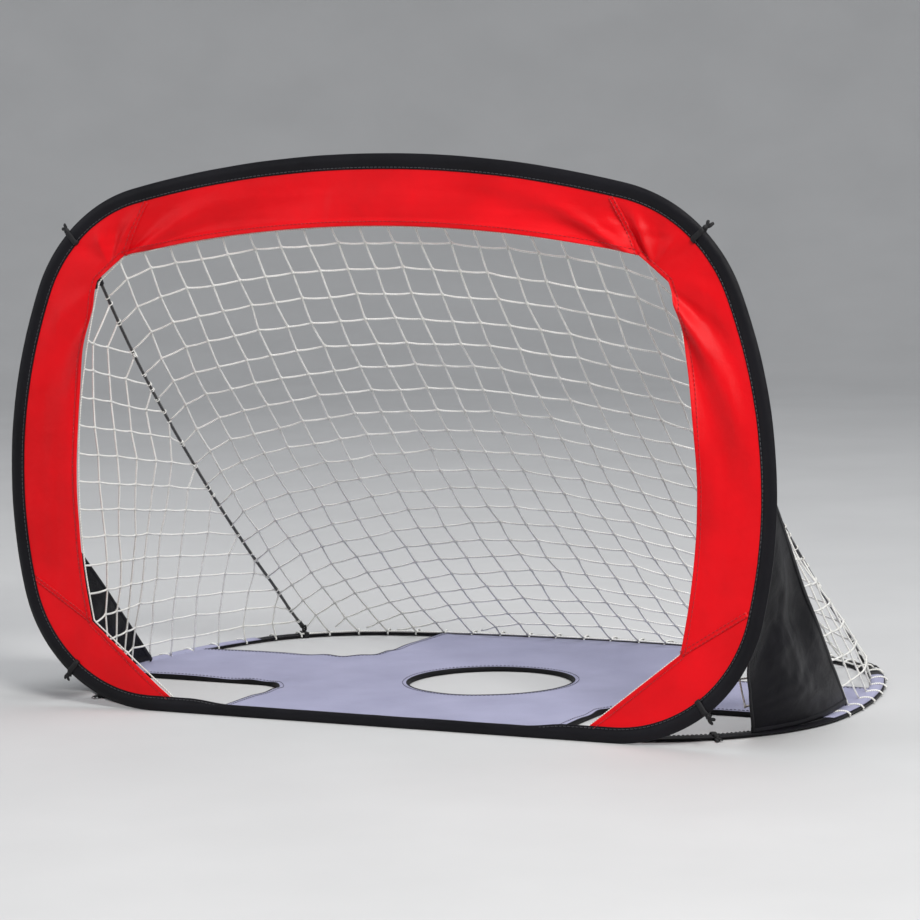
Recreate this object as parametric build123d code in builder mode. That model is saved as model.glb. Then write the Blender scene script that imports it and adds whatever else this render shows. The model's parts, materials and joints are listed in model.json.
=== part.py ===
from build123d import *
import math
import os

# Two-in-one pop-up goal: a goal hoop that stands up and a ground hoop that lies flat, equal
# in width and height, sewn together along their straight front runs, which is the fold.
# Millimetres. +X is to the right seen from in front of the mouth, +Y goes back through the
# net, +Z is up. The origin is under the middle of the object, on the ground.

# ---- driving dimensions ----
WIDTH = 1200.0              # over both hoops
HOOP_DEPTH = 800.0          # height of the goal hoop, and length of the ground hoop
LEAN = 2.0                  # degrees the goal hoop leans back when it is up
SLEEVE_WIDTH = 22.0         # flat width of the sewn sleeve, in the plane of its hoop
SLEEVE_THICK = 8.0          # thickness of the sleeve over its rod
ROD_DIA = 4.0               # spring steel rod
FERRULE_DIA = 6.2           # crimped tube that closes each rod into a hoop
FERRULE_LENGTH = 40.0
ROD_GAP = 1.0               # between the rod's two ends, inside the ferrule
FABRIC = 1.0                # thickness of the border, sheet and web panels
HINGE_GAP = 0.3             # between the two sleeves at the fold
HINGE_HEIGHT = SLEEVE_THICK + 0.5
FRONT_TO_MIDDLE = 396.0     # from the fold back to the middle of the whole object
CORD_DIA = 5.0
NET_THICK = 1.6

# arcs of each hoop's centreline: far run, side run, height of the side's centre, far corner,
# near corner; the near run, at the fold, is straight
GOAL_ARCS = dict(far=1666.0, side=729.0, side_at=330.0, far_corner=223.0, near_corner=211.0)
GROUND_ARCS = dict(far=1666.0, side=729.0, side_at=313.0, far_corner=254.0, near_corner=274.0)

# mouth of the goal, measured in the goal hoop's plane, up from the fold
MOUTH_TOP_MIDDLE = 691.0
MOUTH_SHOULDER = (403.0, 650.0)
MOUTH_CORNER = (447.0, 614.0)
MOUTH_SIDE_MIDDLE = (487.0, 350.0)
MOUTH_ELBOW = (463.0, 117.0)
MOUTH_TIP = (291.0, -18.0)
UPPER_SEAM_END = (318.0, 815.0)
LOWER_SEAM_END = (900.0, 387.0)
PANEL_REACH = 900.0         # panels are cut this far out, then trimmed to the hoop
TOP_PANEL_INSIDE = (0.0, 400.0)
SIDE_PANEL_INSIDE = (300.0, 350.0)
LOW_PANEL_INSIDE = (200.0, 117.0)
LOW_PANEL_FOOT = -100.0

# target sheet, measured back from the fold
ARM_HALF_WIDTH = 265.0      # front and rear arms reach this far each side of the middle
SIDE_ARM = (240.0, 485.0)   # side arms lie between these two lines
CUTOUT_CORNER = 60.0
TARGET_CENTRE = (10.0, 357.0)
TARGET_RADIUS = 124.0
BINDING = 3.5
BINDING_THICK = 2.4
SHEET_LEVEL = 3.0
SHEET_REACH = 1000.0        # arms are cut this far out, then trimmed to the hoop
CORNER_HALF = 360.0         # a corner's binding lies within this of the sheet's front or rear

# soft panels between the hoops, at the right: x, distance back from the fold, height
WEB = [(588, 16, 342), (572, 345, 11), (540, 105, 11), (556, 10, 128)]
NET_SIDE = [(462, 32, 598), (498, 705, 15), (562, 110, 15), (500, 14, 150)]
NET_SPANS = 6               # points taken along each arc of the back net
# arcs across the back net, from its top edge to its foot: middle and right-hand end
NET_ARCS = [
    ((0, 32, 690), (438, 28, 617)),
    ((0, 368, 316), (458, 372, 290)),
    ((0, 772, 15), (484, 712, 15)),
]

# clearances inside the sleeve
ROD_CLEAR = 0.2
FERRULE_CLEAR = 0.05
FERRULE_POCKET = 1.0        # past each end of the ferrule
FERRULE_CHAMFER = 0.5

# webbing ties round the sleeves
TIE_WIDTH = 8.0
TIE_WEBBING = 1.2
TIE_CLEAR = 0.3
TIE_TAIL = (11.0, 2.4)
TIE_TAIL_SUNK = 0.5
REAR_TIE_SHARE = 0.38       # of the way round the ground hoop's far corner
EYE_OUTER = 6.0
EYE_INNER = 3.5
EYE_THICK = 3.0
EYE_SUNK = 0.4

# hook at each cord's lower end, and the tab and knot that hold its upper end
HOOK_RING = 5.0
HOOK_WIRE = 2.4
HOOK_TILT = 38.0
BARREL_DIA = 7.2
BARREL_LENGTH = 12.0
BARREL_CHAMFER = 0.6
TAB_SIZE = (16.0, 30.0)
TAB_CORNER = 3.0
TAB_THICK = 2.5
TAB_OUT = 9.0               # tab's middle beyond the cord's start
TAB_UP = 3.0                # tab's middle above the mouth's corner
KNOT_DIA = 8.0
KNOT_LENGTH = 10.0

# route of the right cord: x, distance back from the fold, height
CORD_ROUTE = [
    (448.0, 28.9, 617.3), (449.7, 57, 583), (452.3, 101, 530), (455.3, 150, 476), (458.4, 201, 424),
    (461.5, 253, 373), (464.7, 306, 323), (467.9, 360, 274), (471.2, 414, 227),
    (474.5, 468, 182), (477.6, 519, 141), (480.4, 566, 105), (483.2, 603, 75),
]
CORD_LEAD = 32.0            # last straight run, in line with the hook's barrel
CORD_ROUNDING = 0.45        # share of the shorter run that a bend of the cord takes up

os.makedirs("parts", exist_ok=True)

HALF_SLEEVE = SLEEVE_WIDTH / 2
lean = math.radians(LEAN)
goal_plane = Plane(
    origin=(0, -FRONT_TO_MIDDLE, HINGE_HEIGHT),
    x_dir=(1, 0, 0),
    z_dir=(0, -math.cos(lean), math.sin(lean)),
)
GOAL_RUN = HALF_SLEEVE - HINGE_HEIGHT     # centreline of the goal hoop's front run
GROUND_RUN = HALF_SLEEVE + HINGE_GAP      # centreline of the ground hoop's front run


def ground_plane(height):
    return Plane.XY.offset(height).move(Location((0, -FRONT_TO_MIDDLE, 0)))


def save(part, label):
    part.part.label = label
    export_step(part.part, f"parts/{label}.step")


# ---- hoop outline ----
def meeting(a, ra, b, rb):
    """The higher point on the right at distances ra from a and rb from b."""
    gap = math.dist(a, b)
    along = (ra * ra - rb * rb + gap * gap) / (2 * gap)
    aside = math.sqrt(ra * ra - along * along)
    ux, uy = (b[0] - a[0]) / gap, (b[1] - a[1]) / gap
    both = [
        (a[0] + along * ux - side * aside * uy, a[1] + along * uy + side * aside * ux)
        for side in (1, -1)
    ]
    return max((point for point in both if point[0] > 0), key=lambda point: point[1])


def bearing(start, end):
    return math.degrees(math.atan2(end[1] - start[1], end[0] - start[0]))


def hoop_arcs(run, far, side, side_at, far_corner, near_corner):
    """Centre, radius, first angle and sweep of the right half's arcs, from the near run."""
    half = WIDTH / 2 - HALF_SLEEVE
    height = HOOP_DEPTH - SLEEVE_WIDTH
    far_centre = (0.0, run + height - far)
    side_centre = (half - side, run + side_at)
    top = meeting(far_centre, far - far_corner, side_centre, side - far_corner)
    low = side_centre[0] + math.sqrt(
        (side - near_corner) ** 2 - (near_corner - side_at) ** 2
    )
    bottom = (low, run + near_corner)
    turn_low = bearing(side_centre, bottom)
    turn_side = bearing(side_centre, top)
    turn_top = bearing(far_centre, top)
    return [
        (bottom, near_corner, -90.0, turn_low + 90.0),
        (side_centre, side, turn_low, turn_side - turn_low),
        (top, far_corner, turn_side, turn_top - turn_side),
        (far_centre, far, turn_top, 90.0 - turn_top),
    ]


def on_hoop(run, arcs, index, share):
    """A point of the centreline and the bearing of its outward normal."""
    centre, radius, first, sweep = hoop_arcs(run, **arcs)[index]
    angle = first + share * sweep
    reach = math.radians(angle)
    return (
        centre[0] + radius * math.cos(reach),
        centre[1] + radius * math.sin(reach),
    ), angle


def half_line(run, arcs, start=0.0):
    """Right half of a hoop's centreline, drawn in the BuildLine that calls it."""
    corners = hoop_arcs(run, **arcs)
    Line((start, run), (corners[0][0][0], run))
    for centre, radius, first, sweep in corners:
        CenterArc(centre, radius, first, sweep)


def hoop_face(run, arcs, grow):
    """The area inside a hoop's centreline, moved out by grow, added to a sketch."""
    with BuildSketch(mode=Mode.PRIVATE) as area:
        with BuildLine():
            half_line(run, arcs)
            mirror(about=Plane.YZ)
        make_face()
        if grow:
            offset(amount=grow)
    return area.sketch


# ---- hoops: rod, ferrule and sleeve ----
def make_rod(plane, run, arcs):
    with BuildPart() as rod:
        with BuildLine(plane) as path:
            half_line(run, arcs, ROD_GAP / 2)
            mirror(about=Plane(plane.origin, x_dir=plane.y_dir, z_dir=plane.x_dir))
        with BuildSketch(Plane(path.wire() @ 0, z_dir=path.wire() % 0)):
            Circle(ROD_DIA / 2)
        sweep(path=path.wire())
    return rod


def make_ferrule(plane, run):
    with BuildPart() as ferrule:
        across = Plane(plane.from_local_coords((0, run, 0)), z_dir=plane.x_dir)
        with BuildSketch(across):
            Circle(FERRULE_DIA / 2)
            Circle(ROD_DIA / 2 + FERRULE_CLEAR, mode=Mode.SUBTRACT)
        extrude(amount=FERRULE_LENGTH / 2, both=True)
        rims = ferrule.edges().filter_by(GeomType.CIRCLE).group_by(SortBy.RADIUS)[-1]
        chamfer(rims, FERRULE_CHAMFER)
    return ferrule


def make_sleeve(plane, run, arcs):
    """Flat sewn sleeve with a round channel for the rod, wider where the ferrule lies."""
    with BuildPart() as sleeve:
        with BuildSketch(plane):
            add(hoop_face(run, arcs, HALF_SLEEVE))
            add(hoop_face(run, arcs, -HALF_SLEEVE), mode=Mode.SUBTRACT)
        extrude(amount=SLEEVE_THICK)
        middle = plane.offset(SLEEVE_THICK / 2)
        with BuildLine(middle) as path:
            half_line(run, arcs)
            mirror(about=Plane(middle.origin, x_dir=middle.y_dir, z_dir=middle.x_dir))
        start = middle.from_local_coords((0, run, 0))
        with BuildSketch(Plane(start, z_dir=middle.x_dir)):
            Circle(ROD_DIA / 2 + ROD_CLEAR)
        sweep(path=path.wire(), mode=Mode.SUBTRACT)
        with BuildSketch(Plane(start, z_dir=middle.x_dir)):
            Circle(FERRULE_DIA / 2 + ROD_CLEAR)
        pocket = FERRULE_LENGTH / 2 + FERRULE_POCKET
        extrude(amount=pocket, both=True, mode=Mode.SUBTRACT)
    return sleeve


for name, plane, run, arcs in (
    ("goal", goal_plane, GOAL_RUN, GOAL_ARCS),
    ("ground", ground_plane(0), GROUND_RUN, GROUND_ARCS),
):
    save(make_rod(plane.offset(SLEEVE_THICK / 2), run, arcs), f"{name}_hoop_rod")
    save(make_ferrule(plane.offset(SLEEVE_THICK / 2), run), f"{name}_hoop_ferrule")
    save(make_sleeve(plane, run, arcs), f"{name}_sleeve")


# ---- border of the goal mouth: five sewn panels ----
def mouth_face():
    """The open mouth, with the border's inner edge as its outline."""
    with BuildSketch(mode=Mode.PRIVATE) as mouth:
        with BuildLine():
            shoulder, corner, elbow = MOUTH_SHOULDER, MOUTH_CORNER, MOUTH_ELBOW
            ThreePointArc((-shoulder[0], shoulder[1]), (0, MOUTH_TOP_MIDDLE), shoulder)
            Line(shoulder, corner)
            ThreePointArc(corner, MOUTH_SIDE_MIDDLE, elbow)
            Line(elbow, MOUTH_TIP)
            mirror(about=Plane.YZ)
            Line(MOUTH_TIP, (-MOUTH_TIP[0], MOUTH_TIP[1]))
        make_face()
    return mouth.sketch


def make_border(corners):
    """The part of the border inside a polygon, half way through the sleeve's thickness."""
    with BuildPart() as panel:
        with BuildSketch(goal_plane.offset((SLEEVE_THICK - FABRIC) / 2)):
            add(hoop_face(GOAL_RUN, GOAL_ARCS, -HALF_SLEEVE))
            add(mouth_face(), mode=Mode.SUBTRACT)
            with BuildLine():
                Polyline(*corners, close=True)
            make_face(mode=Mode.INTERSECT)
        extrude(amount=FABRIC)
    return panel


def mirrored(points):
    return [(-x, y) for x, y in points]


top_panel = [
    MOUTH_SHOULDER, UPPER_SEAM_END, *mirrored([UPPER_SEAM_END, MOUTH_SHOULDER]), TOP_PANEL_INSIDE
]
side_panel = [
    MOUTH_SHOULDER, UPPER_SEAM_END, (PANEL_REACH, UPPER_SEAM_END[1]),
    LOWER_SEAM_END, MOUTH_ELBOW, SIDE_PANEL_INSIDE,
]
low_panel = [
    MOUTH_ELBOW, LOWER_SEAM_END, (PANEL_REACH, LOW_PANEL_FOOT),
    (MOUTH_TIP[0], LOW_PANEL_FOOT), LOW_PANEL_INSIDE,
]
save(make_border(top_panel), "border_top")
for side, flip in (("right", list), ("left", mirrored)):
    save(make_border(flip(side_panel)), f"border_{side}")
    save(make_border(flip(low_panel)), f"border_corner_{side}")


# ---- target sheet with bound openings ----
def cross_face(grow):
    """The sheet's cut before it is trimmed to the hoop: a cross with rounded inner corners."""
    with BuildSketch(mode=Mode.PRIVATE) as cross:
        Rectangle(2 * (ARM_HALF_WIDTH + grow), 2 * SHEET_REACH)
        with Locations((0, (SIDE_ARM[0] + SIDE_ARM[1]) / 2)):
            Rectangle(2 * SHEET_REACH, SIDE_ARM[1] - SIDE_ARM[0] + 2 * grow)
        inner = [
            v for v in cross.vertices()
            if abs(v.X) < ARM_HALF_WIDTH + grow + 1
            and SIDE_ARM[0] - grow - 1 < v.Y < SIDE_ARM[1] + grow + 1
        ]
        fillet(inner, CUTOUT_CORNER - grow)
    return cross.sketch


with BuildPart() as target_sheet:
    with BuildSketch(ground_plane(SHEET_LEVEL)):
        add(hoop_face(GROUND_RUN, GROUND_ARCS, -HALF_SLEEVE))
        add(cross_face(-BINDING), mode=Mode.INTERSECT)
        with Locations(TARGET_CENTRE):
            Circle(TARGET_RADIUS + BINDING, mode=Mode.SUBTRACT)
    extrude(amount=FABRIC)
save(target_sheet, "target_sheet")

binding_level = SHEET_LEVEL + (FABRIC - BINDING_THICK) / 2
with BuildPart() as target_binding:
    with BuildSketch(ground_plane(binding_level)):
        with Locations(TARGET_CENTRE):
            Circle(TARGET_RADIUS + BINDING)
            Circle(TARGET_RADIUS, mode=Mode.SUBTRACT)
    extrude(amount=BINDING_THICK)
save(target_binding, "target_binding")

for row, row_y in (("front", 0), ("rear", HOOP_DEPTH)):
    for side, sign in (("left", -1), ("right", 1)):
        with BuildPart() as corner_binding:
            with BuildSketch(ground_plane(binding_level)):
                add(hoop_face(GROUND_RUN, GROUND_ARCS, -HALF_SLEEVE))
                add(cross_face(0), mode=Mode.INTERSECT)
                add(cross_face(-BINDING), mode=Mode.SUBTRACT)
                with Locations((sign * WIDTH / 2, row_y)):
                    Rectangle(WIDTH, 2 * CORNER_HALF, mode=Mode.INTERSECT)
            extrude(amount=BINDING_THICK)
        save(corner_binding, f"binding_{row}_{side}")


# ---- flat panels set between the two hoops ----
def place(x, y, z):
    """A point given by its distance back from the fold, in the object's frame."""
    return Vector(x, y - FRONT_TO_MIDDLE, z)


def make_panel(corners, thickness):
    """A flat panel whose plane runs through its first, second and last corners."""
    points = [place(*corner) for corner in corners]
    across = points[1] - points[0]
    plane = Plane(points[0], x_dir=across, z_dir=across.cross(points[-1] - points[0]))
    flat = [plane.to_local_coords(point) for point in points]
    with BuildPart() as panel:
        with BuildSketch(plane):
            with BuildLine():
                Polyline(*[(point.X, point.Y) for point in flat], close=True)
            make_face()
        extrude(amount=thickness / 2, both=True)
    return panel


for side, sign in (("left", -1), ("right", 1)):
    for name, corners, thickness in (
        ("side_web", WEB, FABRIC),
        ("net", NET_SIDE, NET_THICK),
    ):
        panel = make_panel([(sign * x, y, z) for x, y, z in corners], thickness)
        save(panel, f"{name}_{side}")

with BuildPart() as net_back:
    rows = [
        ThreePointArc(place(-end[0], *end[1:]), place(*middle), place(*end)).edge()
        for middle, end in NET_ARCS
    ]
    shares = [i / NET_SPANS for i in range(NET_SPANS + 1)]
    grid = [[row @ share for share in shares] for row in rows]
    thicken(to_thicken=Face.make_surface_from_array_of_points(grid), amount=NET_THICK)
save(net_back, "net_back")


# ---- ties round the sleeves, the rear ground ties with an eye for the cord's hook ----
TIES = {
    "goal_upper": (goal_plane, GOAL_RUN, GOAL_ARCS, 2, 0.42),
    "goal_lower": (goal_plane, GOAL_RUN, GOAL_ARCS, 0, 0.50),
    "ground_front": (ground_plane(0), GROUND_RUN, GROUND_ARCS, 0, 0.45),
    "ground_rear": (ground_plane(0), GROUND_RUN, GROUND_ARCS, 2, REAR_TIE_SHARE),
}


def tie_plane(plane, run, arcs, index, share, sign):
    """Across the sleeve: local x points out of the hoop, local y along the hoop's normal."""
    (x, y), angle = on_hoop(run, arcs, index, share)
    outward = math.radians(angle)
    direction = (
        plane.x_dir * (sign * math.cos(outward)) + plane.y_dir * math.sin(outward)
    )
    origin = plane.from_local_coords((sign * x, y, SLEEVE_THICK / 2))
    return Plane(origin, x_dir=direction, z_dir=direction.cross(plane.z_dir))


def eye_centre(sign):
    (x, y), _ = on_hoop(GROUND_RUN, GROUND_ARCS, 2, REAR_TIE_SHARE)
    top = SLEEVE_THICK + TIE_CLEAR + TIE_WEBBING
    return Vector(sign * x, y - FRONT_TO_MIDDLE, top + EYE_OUTER - EYE_SUNK)


def make_tie(name, sign):
    inner = (SLEEVE_WIDTH + 2 * TIE_CLEAR, SLEEVE_THICK + 2 * TIE_CLEAR)
    outer = (inner[0] + 2 * TIE_WEBBING, inner[1] + 2 * TIE_WEBBING)
    on_ground = name.startswith("ground")
    with BuildPart() as tie:
        with BuildSketch(tie_plane(*TIES[name], sign)) as profile:
            Rectangle(*outer)
            with Locations((outer[0] / 2 + TIE_TAIL[0] / 2 - TIE_TAIL_SUNK, 0)):
                Rectangle(*TIE_TAIL)
            Rectangle(*inner, mode=Mode.SUBTRACT)
            if on_ground:
                with Locations((0, -SLEEVE_THICK)):
                    Rectangle(2 * outer[0], SLEEVE_THICK, mode=Mode.SUBTRACT)
        extrude(amount=TIE_WIDTH / 2, both=True)
        if name == "ground_rear":
            centre = eye_centre(sign)
            with BuildSketch(Plane(centre, x_dir=(0, 1, 0), z_dir=(1, 0, 0))):
                Circle(EYE_OUTER)
                Circle(EYE_INNER, mode=Mode.SUBTRACT)
            extrude(amount=EYE_THICK / 2, both=True)
    return tie


# ---- elastic cords from the mouth's upper corners to the rear ties ----
tilt = math.radians(HOOK_TILT)
towards_cord = Vector(0, -math.cos(tilt), math.sin(tilt))


def make_hook(sign):
    """A ring linked through the tie's eye, with a barrel that grips the cord's end."""
    middle = eye_centre(sign) + towards_cord * HOOK_RING
    ring = Plane(middle, x_dir=(1, 0, 0), z_dir=Vector(1, 0, 0).cross(towards_cord))
    sunk = HOOK_WIRE / 4
    with BuildPart() as hook:
        with Locations(ring.location):
            Torus(HOOK_RING, HOOK_WIRE / 2)
        foot = middle + towards_cord * (HOOK_RING - sunk)
        with BuildSketch(Plane(foot, z_dir=towards_cord)):
            Circle(BARREL_DIA / 2)
        extrude(amount=BARREL_LENGTH)
        chamfer(hook.edges().filter_by(GeomType.CIRCLE).sort_by(Axis.Z)[-1], BARREL_CHAMFER)
    return hook, foot + towards_cord * BARREL_LENGTH


def make_corner_loop(sign):
    """Webbing tab sewn behind the border's corner, ending in the knot that holds the cord."""
    start, second = (place(sign * x, y, z) for x, y, z in CORD_ROUTE[:2])
    away = (second - start).normalized()
    back = goal_plane.offset((SLEEVE_THICK - FABRIC) / 2)
    with BuildPart() as loop:
        with BuildSketch(back):
            with Locations((sign * (CORD_ROUTE[0][0] + TAB_OUT), MOUTH_CORNER[1] + TAB_UP)):
                RectangleRounded(*TAB_SIZE, TAB_CORNER)
        extrude(amount=-TAB_THICK)
        with BuildSketch(Plane(start, z_dir=away)):
            Circle(KNOT_DIA / 2)
        extrude(amount=-KNOT_LENGTH)
    return loop


def make_cord(sign, end):
    points = [place(sign * x, y, z) for x, y, z in CORD_ROUTE]
    points += [end + towards_cord * CORD_LEAD, end]
    radii = []
    for before, here, after in zip(points, points[1:], points[2:]):
        turn = math.radians((here - before).get_angle(after - here))
        shorter = min((here - before).length, (after - here).length)
        radii.append(CORD_ROUNDING * shorter / math.tan(turn / 2))
    with BuildPart() as cord:
        with BuildLine() as route:
            FilletPolyline(*points, radius=radii)
        with BuildSketch(Plane(points[0], z_dir=route.wire() % 0)):
            Circle(CORD_DIA / 2)
        sweep(path=route.wire())
    return cord


for side, sign in (("left", -1), ("right", 1)):
    for name in TIES:
        save(make_tie(name, sign), f"tie_{name}_{side}")
    hook, end = make_hook(sign)
    save(hook, f"cord_hook_{side}")
    save(make_corner_loop(sign), f"corner_loop_{side}")
    save(make_cord(sign, end), f"cord_{side}")
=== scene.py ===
import json
import math

import bmesh
import bpy
import numpy as np
from mathutils import Matrix, Vector, geometry, noise


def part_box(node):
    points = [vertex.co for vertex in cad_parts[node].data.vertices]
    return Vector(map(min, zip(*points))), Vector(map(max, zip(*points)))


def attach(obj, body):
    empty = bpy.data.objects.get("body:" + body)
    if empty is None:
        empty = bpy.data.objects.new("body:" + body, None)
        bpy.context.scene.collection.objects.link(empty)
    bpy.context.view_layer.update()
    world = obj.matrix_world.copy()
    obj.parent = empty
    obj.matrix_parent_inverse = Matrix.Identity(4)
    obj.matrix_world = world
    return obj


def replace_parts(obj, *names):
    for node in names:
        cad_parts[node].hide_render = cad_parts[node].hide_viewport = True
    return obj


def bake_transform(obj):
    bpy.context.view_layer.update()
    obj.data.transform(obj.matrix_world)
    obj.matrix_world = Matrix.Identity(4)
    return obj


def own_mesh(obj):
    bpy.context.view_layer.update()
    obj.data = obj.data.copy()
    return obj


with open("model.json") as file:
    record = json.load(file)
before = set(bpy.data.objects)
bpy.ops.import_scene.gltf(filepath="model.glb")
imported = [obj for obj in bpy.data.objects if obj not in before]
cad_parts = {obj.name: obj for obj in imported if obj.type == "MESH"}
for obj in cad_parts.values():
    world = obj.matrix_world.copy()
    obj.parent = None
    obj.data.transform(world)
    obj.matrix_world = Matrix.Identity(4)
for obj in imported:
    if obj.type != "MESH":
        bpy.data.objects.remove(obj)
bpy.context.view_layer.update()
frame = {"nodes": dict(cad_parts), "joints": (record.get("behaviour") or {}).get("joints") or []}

# ---- sizes of the object, in metres, as its design has them ----
LEAN = math.radians(2.0)
SLEEVE_WIDTH = 0.022
SLEEVE_THICK = 0.008
HALF_SLEEVE = SLEEVE_WIDTH / 2
MID_SLEEVE = SLEEVE_THICK / 2
HINGE_GAP = 0.0003
GOAL_ARCS = dict(far=1.666, side=0.729, side_at=0.330, far_corner=0.223, near_corner=0.211)
GROUND_ARCS = dict(far=1.666, side=0.729, side_at=0.313, far_corner=0.254, near_corner=0.274)
MOUTH_TOP_MIDDLE = (0.0, 0.691)
MOUTH_SHOULDER = (0.403, 0.650)
MOUTH_CORNER = (0.447, 0.614)
MOUTH_SIDE_MIDDLE = (0.487, 0.350)
MOUTH_ELBOW = (0.463, 0.117)
MOUTH_TIP = (0.291, -0.018)
UPPER_SEAM_END = (0.318, 0.815)
LOWER_SEAM_END = (0.900, 0.387)
ARM_HALF_WIDTH = 0.265
SIDE_ARM = (0.240, 0.485)
CUTOUT_CORNER = 0.060
TARGET_CENTRE = (0.010, 0.357)
TARGET_RADIUS = 0.124
CORD_DIA = 0.005
WEB_GOAL_HEIGHTS = (0.128, 0.342)       # where a web is sewn to the goal hoop
WEB_GROUND_SPAN = (0.105, 0.345)        # and to the ground hoop, back from the fold
WEB_GROUND_SHIFT = (0.008, -0.013)      # from the ground sleeve's middle, at its front and rear

joint = frame["joints"][0]
fold = Vector(joint["pos_m"])
low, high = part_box("ground_sleeve")
WIDTH = high.x - low.x
HOOP_DEPTH = high.y - low.y
GOAL_RUN = HALF_SLEEVE - fold.z
GROUND_RUN = HALF_SLEEVE + HINGE_GAP
SIDES = (("left", -1), ("right", 1))


def on_goal(x, v, n):
    """x across, v up the goal hoop's plane from the fold, n out of the front of it."""
    return Vector((
        x,
        fold.y + v * math.sin(LEAN) - n * math.cos(LEAN),
        fold.z + v * math.cos(LEAN) + n * math.sin(LEAN),
    ))


def on_ground(x, y, z):
    """x across, y back from the fold, z up."""
    return Vector((x, fold.y + y, z))


# ---- hoop outline: the same arcs as the design's ----
def meeting(a, ra, b, rb):
    """Centre at distances ra from a and rb from b, the higher of the two."""
    gap = math.dist(a, b)
    along = (ra * ra - rb * rb + gap * gap) / (2 * gap)
    aside = math.sqrt(ra * ra - along * along)
    ux, uy = (b[0] - a[0]) / gap, (b[1] - a[1]) / gap
    both = [
        (a[0] + along * ux - side * aside * uy, a[1] + along * uy + side * aside * ux)
        for side in (1, -1)
    ]
    return max((p for p in both if p[0] > 0), key=lambda p: p[1])


def hoop_arcs(run, far, side, side_at, far_corner, near_corner):
    """Centre, radius, first angle and sweep of the right half's arcs, in radians."""
    half = WIDTH / 2 - HALF_SLEEVE
    far_centre = (0.0, run + HOOP_DEPTH - SLEEVE_WIDTH - far)
    side_centre = (half - side, run + side_at)
    top = meeting(far_centre, far - far_corner, side_centre, side - far_corner)
    reach = math.sqrt((side - near_corner) ** 2 - (near_corner - side_at) ** 2)
    bottom = (side_centre[0] + reach, run + near_corner)

    def bearing(start, end):
        return math.atan2(end[1] - start[1], end[0] - start[0])

    turns = [
        -math.pi / 2, bearing(side_centre, bottom), bearing(side_centre, top),
        bearing(far_centre, top), math.pi / 2,
    ]
    rounds = [(bottom, near_corner), (side_centre, side), (top, far_corner), (far_centre, far)]
    return [
        (centre, radius, a, b - a)
        for (centre, radius), a, b in zip(rounds, turns, turns[1:])
    ]


def right_half(run, arcs, step):
    """Rows of x, v and the outward normal along the right half of a hoop's centreline."""
    found = hoop_arcs(run, **arcs)
    straight = found[0][0][0]
    count = round(straight / step)
    rows = [(straight * i / count, run, 0.0, -1.0) for i in range(count)]
    for centre, radius, first, sweep in found:
        count = max(2, round(radius * sweep / step))
        for i in range(count):
            a = first + sweep * i / count
            c, s = math.cos(a), math.sin(a)
            rows.append((centre[0] + radius * c, centre[1] + radius * s, c, s))
    centre, radius, _, _ = found[-1]
    rows.append((0.0, centre[1] + radius, 0.0, 1.0))
    return rows


def whole_hoop(run, arcs, step):
    right = right_half(run, arcs, step)
    left = [(-x, v, -nx, nv) for x, v, nx, nv in reversed(right[1:-1])]
    return right + left


def moved_out(rows, amount):
    return [(x + nx * amount, v + nv * amount) for x, v, nx, nv in rows]


# ---- small tools for curves ----
def lengths_along(points):
    points = np.array(points, float)
    steps = np.linalg.norm(np.diff(points, axis=0), axis=1)
    return np.concatenate([[0.0], np.cumsum(steps)])


def resampled(points, count):
    """count points evenly spaced along a polyline."""
    points = np.array(points, float)
    along = lengths_along(points)
    wanted = np.linspace(0, along[-1], count)
    return np.stack([np.interp(wanted, along, points[:, k]) for k in range(points.shape[1])], 1)


def arc_through(a, b, c, count=40):
    """Points of the circle's arc from a through b to c."""
    (ax, ay), (bx, by), (cx, cy) = a, b, c
    d = 2 * (ax * (by - cy) + bx * (cy - ay) + cx * (ay - by))
    ux = ((ax**2 + ay**2) * (by - cy) + (bx**2 + by**2) * (cy - ay) + (cx**2 + cy**2) * (ay - by)) / d
    uy = ((ax**2 + ay**2) * (cx - bx) + (bx**2 + by**2) * (ax - cx) + (cx**2 + cy**2) * (bx - ax)) / d
    radius = math.dist((ux, uy), a)
    start = math.atan2(ay - uy, ax - ux)
    end = math.atan2(cy - uy, cx - ux)
    turn = (end - start + math.pi) % (2 * math.pi) - math.pi
    bearings = [start + turn * i / count for i in range(count + 1)]
    return [(ux + radius * math.cos(a), uy + radius * math.sin(a)) for a in bearings]


def smooth(t):
    t = min(1.0, max(0.0, t))
    return t * t * (3 - 2 * t)


def rough(x, y, z, seed):
    """Smooth noise from -1 to 1."""
    return noise.noise(Vector((x + 7.3 * seed, y - 3.1 * seed, z + 1.7 * seed)))


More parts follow.
